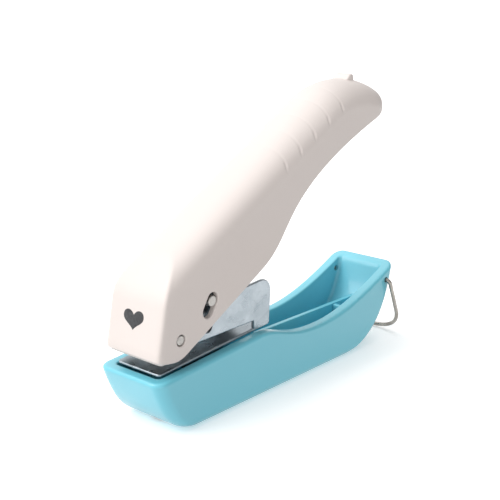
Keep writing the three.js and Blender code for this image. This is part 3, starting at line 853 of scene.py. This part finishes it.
SHELL_HALF = 12.0
WALL = 2.0
CROWN = 9.4
TIP = 113.4
UPRIGHT_FROM = 26.0  # from here on the sections stand upright
FACE_FILLET = 1.7
INNER_FACE_FILLET = 0.5
FACE_COLUMNS = 24
CROWN_COLUMNS = 26
SIDE_COLUMNS = 10
GROOVES = [62.9 + 7.65 * k for k in range(5)]
GROOVE_HALF = 0.8
GROOVE_DEPTH = 0.06
NOTCH_DEPTH = 0.3
EDGE_ROLL = 0.4
CREST_FRONT = (6, 49.396)
CREST_BACK = (88, 96.1)  # the end of the crest's straight run
CREST_SLOPE = (CREST_BACK[1] - CREST_FRONT[1]) / (CREST_BACK[0] - CREST_FRONT[0])
FACE_FOOT = (2.4, 26.4)
FACE_LEAN = 0.2  # how far the head's face goes back for each unit up

crest_line = chain(
    [CREST_FRONT, CREST_BACK],
    bezier(CREST_BACK, (95, 99.9), (102, 101.0), (110.5, 100.0), 60),
    bezier((110.5, 100.0), (117, 98.6), (123.2, 96.3), (125.4, 92.6), 60),
)
belly_line = chain(
    [(3.75, 24.0), (4.6, 23.9), (8, 23.3)],
    bezier((8, 23.3), (11.5, 22.7), (13.5, 23.8), (15.7, 25), 20),
    [(15.7, 25), (50, 43.4)],
    bezier((50, 43.4), (58.5, 48), (60, 52.5), (66.5, 59.8), 40),
    bezier((66.5, 59.8), (75.5, 69.8), (91, 78), (113, 85.8), 60),
    bezier((113, 85.8), (117.2, 87.2), (121.5, 88.9), (125.8, 91.9), 30),
)
face_line = chain(
    bezier((3.75, 24.0), (2.75, 24.15), (2.15, 24.9), FACE_FOOT, 8),
    [FACE_FOOT, (5.32, 41.0)],
    bezier((5.32, 41.0), (6.4, 46.4), (10.2, 49.9), (15.6, 54.864), 24),
)
inner_face_line = chain(
    [(4.02, 24.3), (7.28, 40.6)],
    bezier((7.28, 40.6), (8.3, 45.7), (12.0, 48.7), (17.2, 53.474), 24),
)


def crest_height(x, inset):
    height = np.interp(x, crest_line[:, 0], crest_line[:, 1])
    slope = np.interp(x, crest_line[:, 0], np.gradient(crest_line[:, 1], crest_line[:, 0]))
    return float(height - inset * min(math.hypot(1, slope), 1.3))


def belly_height(x):
    return float(np.interp(x, belly_line[:, 0], belly_line[:, 1])) + EDGE_ROLL


def section(half, rise, power, columns):
    """Half a crown from the middle line to the flat side, as (across, in)."""
    a = np.linspace(math.pi / 2, 0, 80)
    across = half * np.cos(a) ** (2 / power)
    inwards = rise * (1 - np.sin(a) ** (2 / power))
    spread = 1 - (1 - np.linspace(0, 1, columns)) ** 1.35
    return resample(np.stack([across, inwards], axis=1), spread)


def upright_row(x, inset):
    """Half a row of the skin standing at x, from the crest to the belly edge."""
    past = max(0.0, x - TIP)
    share = math.sqrt(max(1 - (past / SHELL_HALF) ** 2, 1e-4))
    half = (SHELL_HALF - inset) * share
    at = x if not past else TIP + past * (SHELL_HALF - inset) / SHELL_HALF
    top = crest_height(x, inset)
    foot = belly_height(at)
    rise = (CROWN - 0.7 * inset) * share
    rise = min(rise, 0.85 * (top - foot))
    power = 2.8 - 0.8 * float(smoothstep(x, 10, 95))
    crown = [(at, y, top - q) for y, q in section(half, rise, power, CROWN_COLUMNS)]
    last = crown[-1][2]
    sides = np.arange(1, SIDE_COLUMNS + 1) / SIDE_COLUMNS
    return np.array(crown + [(at, half, last + (foot - last) * t) for t in sides])


def mirrored(half_row):
    """A whole row from left foot to right foot."""
    other = half_row[::-1][:-1] * (1, -1, 1)
    return np.vstack([other, half_row])


def head_rows(inset):
    """Rows from the face's edge back to the first upright section, its fillet first."""
    line, fillet = (inner_face_line, INNER_FACE_FILLET) if inset else (face_line, FACE_FILLET)
    back = upright_row(UPRIGHT_FROM, inset)
    steps = np.linalg.norm(np.diff(line, axis=0), axis=1)
    along = np.concatenate([[0], np.cumsum(steps)])
    level = line[:, 1] - CREST_SLOPE * line[:, 0]
    crown = back[:CROWN_COLUMNS, 2] - CREST_SLOPE * back[:CROWN_COLUMNS, 0]
    s = np.interp(crown, level, along)
    s = np.concatenate([s, s[-1] * (1 - np.arange(1, SIDE_COLUMNS + 1) / SIDE_COLUMNS)])
    edge = mirrored(np.stack([s, back[:, 1], s], axis=1))[:, 1:]

    def on_face(y, s):
        return np.stack([np.interp(s, along, line[:, 0]), y, np.interp(s, along, line[:, 1])], axis=1)

    crease = on_face(edge[:, 0], edge[:, 1])
    tangent = np.gradient(edge, axis=0)
    tangent /= np.linalg.norm(tangent, axis=1)[:, None]
    inside = on_face(edge[:, 0] + fillet * tangent[:, 1], edge[:, 1] - fillet * tangent[:, 0])
    whole = mirrored(back)
    ends = np.zeros(len(whole))
    ends[: SIDE_COLUMNS + 1] = np.linspace(1, 0, SIDE_COLUMNS + 1)
    ends[-SIDE_COLUMNS - 1 :] = np.linspace(0, 1, SIDE_COLUMNS + 1)

    def behind(share):
        row = crease + (whole - crease) * share[:, None]
        row[:, 2] += ends * (belly_height(row[-1, 0]) - row[-1, 2])
        return row

    reach = np.linalg.norm(whole - crease, axis=1)
    start = fillet / reach
    outside = behind(start)
    rows = []
    for t in np.linspace(0, 1, 7):
        rows.append(inside * (1 - t) ** 2 + crease * 2 * t * (1 - t) + outside * t**2)
    for t in np.linspace(0, 1, 22)[1:-1]:
        rows.append(behind(start + (1 - start) * t))
    return rows


def skin(inset):
    """Rows of points over the handle, inset by the wall for the inner skin."""
    stations = np.concatenate(
        [
            np.arange(UPRIGHT_FROM, 60.0, 1.0),
            np.arange(60.0, 97.0, 0.25),
            np.arange(97.0, TIP, 0.8),
            TIP + SHELL_HALF * np.sin(np.radians(np.linspace(0, 87, 26))),
        ]
    )
    return np.array(head_rows(inset) + [mirrored(upright_row(x, inset)) for x in stations])


def press_grooves(rows):
    """Presses the finger grooves into the crown, deeper where they run out at the sides."""
    normal = np.cross(np.gradient(rows, axis=0), np.gradient(rows, axis=1))
    length = np.linalg.norm(normal, axis=2)[..., None]
    normal = normal / np.maximum(length, 1e-9)
    normal = normal * np.where(normal[..., 2:3] < 0, -1, 1)
    x, y = rows[..., 0], np.abs(rows[..., 1])
    strength = GROOVE_DEPTH + (NOTCH_DEPTH - GROOVE_DEPTH) * smoothstep(y, 10.4, 11.1)
    strength = strength * (1 - smoothstep(y, 11.4, 11.95))
    depth = np.zeros(x.shape)
    for groove in GROOVES:
        across = np.clip(np.abs(x - groove) / GROOVE_HALF, 0, 1)
        depth = np.maximum(depth, strength * (0.5 + 0.5 * np.cos(math.pi * across)))
    above = rows[..., 2] > np.interp(x, belly_line[:, 0], belly_line[:, 1]) + 4
    return rows - normal * (depth * above)[..., None]


def face_panel(edge):
    """Rows across the face between the two halves of its edge, from the bottom up."""
    middle = len(edge) // 2
    share = np.linspace(0, 1, FACE_COLUMNS + 1)[:, None]
    return np.array([edge[j] + (edge[-1 - j] - edge[j]) * share for j in range(middle + 1)])


def add_grid(shape, rows, wrap_cols=False):
    count, width = rows.shape[:2]
    return shape.add(rows.reshape(-1, 3), grid_faces(count, width, wrap_cols=wrap_cols))


def shell_body():
    """The outer and the inner skin, each closed at its face and tip, joined round the open underside."""
    outer, inner = press_grooves(skin(0)), skin(WALL)
    shape = Shape()
    loops = []
    for rows in (outer, inner):
        panel = face_panel(rows[0])
        add_grid(shape, rows)
        add_grid(shape, panel[:-1])
        tip = panel[-2]
        shape.add(list(tip) + [panel[-1][0]], [(i, i + 1, len(tip)) for i in range(len(tip) - 1)])
        add_grid(shape, face_panel(rows[-1])[:, [0, -1]][:-1])
        last = rows[-1]
        middle = len(last) // 2
        shape.add(last[middle - 1 : middle + 2], [(0, 1, 2)])
        loops.append(np.vstack([panel[0], rows[1:, -1], rows[:0:-1, 0]]))
    slope = np.gradient(belly_line[:, 1], belly_line[:, 0])
    rings = [loops[0]]
    for share, roll in ((0.2, 0.8), (0.5, 1.0), (0.8, 0.8)):
        ring = loops[0] + (loops[1] - loops[0]) * share
        lean = np.interp(loops[0][:, 0], belly_line[:, 0], slope)
        lean[: FACE_COLUMNS + 1] = 0
        down = np.stack([lean, 0 * lean, -1 + 0 * lean], axis=1) / np.hypot(lean, 1)[:, None]
        rings.append(ring + down * (EDGE_ROLL * roll))
    rings.append(loops[1])
    return add_grid(shape, np.array(rings), wrap_cols=True)


def collar(loop_at, y_out, y_in, lip):
    """A rounded lip lining a hole through a side wall."""
    ways = [(lip, y_out)]
    for k in range(1, 6):
        a = math.pi / 2 * k / 5
        ways.append((lip - lip * math.sin(a), y_out - math.copysign(lip * (1 - math.cos(a)), y_out)))
    ways += [(0.0, y_in), (lip + 0.1, y_in)]
    rings = [[(u, y, v) for u, v in loop_at(offset)] for offset, y in ways]
    verts = [p for ring in rings for p in ring]
    return verts, grid_faces(len(rings), len(rings[0]), wrap_rows=True, wrap_cols=True)


HANDLE_SLOT = ((24.4, 36.1), (26.4, 39.4))
HANDLE_SLOT_HALF = 2.4
LIP = 0.45
PIVOT_LIP_SHARE = 0.6  # the width of the pivot hole's lip, as a share of the slot's
POSTS = ((42, 10.9), (68, 11.7))  # each screw post's place and height, with the handle closed
POST_FOOT = 38.9
POST_RADIUS = 3.2
POST_BORE = 1.55
POST_BORE_DEPTH = 8.7


def slot_loop(offset):
    return obround(HANDLE_SLOT[0], HANDLE_SLOT[1], HANDLE_SLOT_HALF + offset)


def pivot_loop(offset):
    return circle(PIVOT[0], PIVOT[1], PIVOT_HOLE + PIVOT_LIP_SHARE * offset, 44)


def straight_cutter(loop, low, high):
    rings = [[(u, y, v) for u, v in loop] for y in (low, high)]
    verts = rings[0] + rings[1]
    count = len(loop)
    faces = grid_faces(2, count, wrap_cols=True)
    faces += [tuple(range(count)), tuple(range(count, 2 * count))]
    return verts, faces


def thumb_tab():
    outline = chain(
        [(106.8, 98.5), (106.8, 100.2)],
        bezier((106.8, 100.2), (108, 101.2), (108.4, 101.95), (109.4, 101.95), 10),
        bezier((109.4, 101.95), (110.6, 101.95), (110.9, 101), (110.9, 99.6), 10),
        [(110.9, 99.6), (110.9, 98.5)],
    )
    return slab([tuple(p) for p in outline], -3.5, 3.5, 0.6, side_view, steps=4)


def raised(point):
    """A point of the closed handle, lifted to its rest place about the pivot."""
    x, y, z = point[0] - PIVOT[0], point[1], point[2] - PIVOT[1]
    return (
        PIVOT[0] + x * math.cos(CLOSING) - z * math.sin(CLOSING),
        y,
        PIVOT[1] + x * math.sin(CLOSING) + z * math.cos(CLOSING),
    )


def make_shell():
    shell = piece("shell", shell_body(), CREAM, "handle", ["handle_shell"], sharp=40)
    for low, high in ((-14, -8), (8, 14)):
        cutter = Shape()
        cutter.add(*straight_cutter(slot_loop(LIP), low, high))
        cutter.add(*straight_cutter(pivot_loop(LIP), low, high))
        cut_away(shell, cutter, 40)
    fittings = Shape()
    for side in (-1, 1):
        for loop in (slot_loop, pivot_loop):
            fittings.add(*collar(loop, side * SHELL_HALF, side * (SHELL_HALF - WALL), LIP))
    fittings.add(*thumb_tab())
    for x, top in POSTS:
        bore = [(POST_BORE, 0.0), (POST_BORE, POST_BORE_DEPTH), (0, POST_BORE_DEPTH)]
        outside = rounded([(0, top), (POST_RADIUS, top), (POST_RADIUS, 0.0)], 0.3)
        post, faces = lathe(outside + bore, (x, 0, POST_FOOT), (0, 0, 1), 36)
        fittings.add([raised(p) for p in post], faces)
    piece("shell_fittings", fittings, CREAM, "handle", sharp=45)


make_shell()


def heart_print():
    """The printed heart, lying on the leaning face of the head."""
    across, up, tilt = -0.6, 32.65, math.radians(2.5)
    sunk, thickness = 0.03, 0.04
    lean_up, lean_out = 0.981, 0.196  # a step of one unit up the leaning face

    def on_face(u, v, w):
        right = u * math.cos(tilt) - v * math.sin(tilt) + across
        height = u * math.sin(tilt) + v * math.cos(tilt)
        z = up + height * lean_up
        face = FACE_FOOT[0] + FACE_LEAN * (z - FACE_FOOT[1])
        return (face + sunk - w * lean_up, -right, z + w * lean_out)

    outline = heart_outline(8.8, 6.2)
    print_layer = Shape().add(*slab(outline, 0.0, sunk + thickness, 0.015, on_face, steps=2))
    piece("heart_print", print_layer, INK, "handle")


heart_print()

# ---- the CAD nodes that stay --------------------------------------------------------------------

BEVEL_FROM = math.radians(35)
KEPT = {  # each node's material and the width of its edges' bevel
    "die_block": (TOOL, 0.25),
    "die_rivet_front": (SCREWS, 0.15),
    "die_rivet_rear": (SCREWS, 0.15),
    "frame_screw_front": (SCREWS, 0.12),
    "frame_screw_rear": (SCREWS, 0.12),
    "punch_guide": (ZINC, 0.25),
    "pivot_bush": (SCREWS, 0.2),
    "punch": (TOOL, 0.12),
    "handle_lever": (ZINC, 0.25),
    "lever_screw_front": (SCREWS, 0.12),
    "lever_screw_rear": (SCREWS, 0.12),
}
for name, (material, width) in KEPT.items():
    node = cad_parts[name]
    node.data.materials.clear()
    node.data.materials.append(material)
    node.data.shade_smooth()
    node.data.set_sharp_from_angle(angle=BEVEL_FROM)
    bevel = node.modifiers.new("edges", "BEVEL")
    bevel.width = width * MM
    bevel.segments = 2
    bevel.limit_method = "ANGLE"
    bevel.angle_limit = BEVEL_FROM
    weigh_normals(node)

# ---- floor and light ----------------------------------------------------------------------------


def add_floor():
    """A wide white table, just under the object."""
    mesh = bpy.data.meshes.new("floor")
    reach = 8.0
    corners = [(-reach, -reach, 0), (reach, -reach, 0), (reach, reach, 0), (-reach, reach, 0)]
    mesh.from_pydata(corners, [], [(0, 1, 2, 3)])
    look = Look("floor_white")
    grain = look.noise(40, 2)
    look.colour(look.mix(grain, (0.93, 0.93, 0.93), (0.96, 0.96, 0.96)))
    look.set(Roughness=0.7, Specular_IOR_Level=0.2)
    look.set(Emission_Color=(1, 1, 1, 1), Emission_Strength=0.3)
    mesh.materials.append(look.material)
    floor = bpy.data.objects.new("floor", mesh)
    floor.location.z = -0.0002
    floor.visible_diffuse = False
    bpy.context.scene.collection.objects.link(floor)


def add_softbox(name, toward, spread, strength):
    """A wide, far light from that direction."""
    data = bpy.data.lights.new(name, "SUN")
    data.angle = math.radians(spread)
    data.energy = strength
    lamp = bpy.data.objects.new(name, data)
    lamp.rotation_euler = Vector(toward).to_track_quat("Z", "Y").to_euler()
    bpy.context.scene.collection.objects.link(lamp)


def lobe(nodes, links, toward, low, high, strength):
    """Light that grows from nothing to its full strength as the direction nears one way."""
    coords = nodes.new("ShaderNodeTexCoord").outputs["Generated"]
    dot = nodes.new("ShaderNodeVectorMath")
    dot.operation = "DOT_PRODUCT"
    dot.inputs[1].default_value = Vector(toward).normalized()
    links.new(coords, dot.inputs[0])
    ramp = nodes.new("ShaderNodeMapRange")
    ramp.interpolation_type = "SMOOTHSTEP"
    ramp.inputs["From Min"].default_value = low
    ramp.inputs["From Max"].default_value = high
    ramp.inputs["To Max"].default_value = strength
    links.new(dot.outputs["Value"], ramp.inputs["Value"])
    return ramp.outputs["Result"]


def total(nodes, links, first, second):
    node = nodes.new("ShaderNodeMath")
    links.new(first, node.inputs[0])
    if isinstance(second, float):
        node.inputs[1].default_value = second
    else:
        links.new(second, node.inputs[1])
    return node.outputs["Value"]


def add_studio():
    """A soft box overhead and behind, a weak reflector low on the near side, and a card behind."""
    world = bpy.data.worlds.new("studio")
    world.use_nodes = True
    nodes, links = world.node_tree.nodes, world.node_tree.links
    overhead = lobe(nodes, links, (-0.6, 0.6, 0.6), -0.3, 0.95, 0.75)
    bounce = lobe(nodes, links, (-0.3, -0.75, -0.6), 0.0, 0.9, 0.7)
    card = lobe(nodes, links, (0.72, 0.63, 0.3), 0.78, 0.98, 0.45)
    lobes = total(nodes, links, total(nodes, links, overhead, bounce), card)
    glow = total(nodes, links, lobes, 0.3)
    nodes["Background"].inputs["Color"].default_value = (1, 1, 1, 1)
    links.new(glow, nodes["Background"].inputs["Strength"])
    bpy.context.scene.world = world
    add_softbox("key", (-0.8, 0.4, 0.65), 40, 1.1)
    add_softbox("top", (0.0, 0.4, 1), 60, 0.75)
    add_softbox("glint", (-0.5, 0.45, 0.8), 10, 0.3)
    bpy.context.scene.view_settings.view_transform = "Standard"
    bpy.context.scene.view_settings.look = "None"


add_floor()
add_studio()
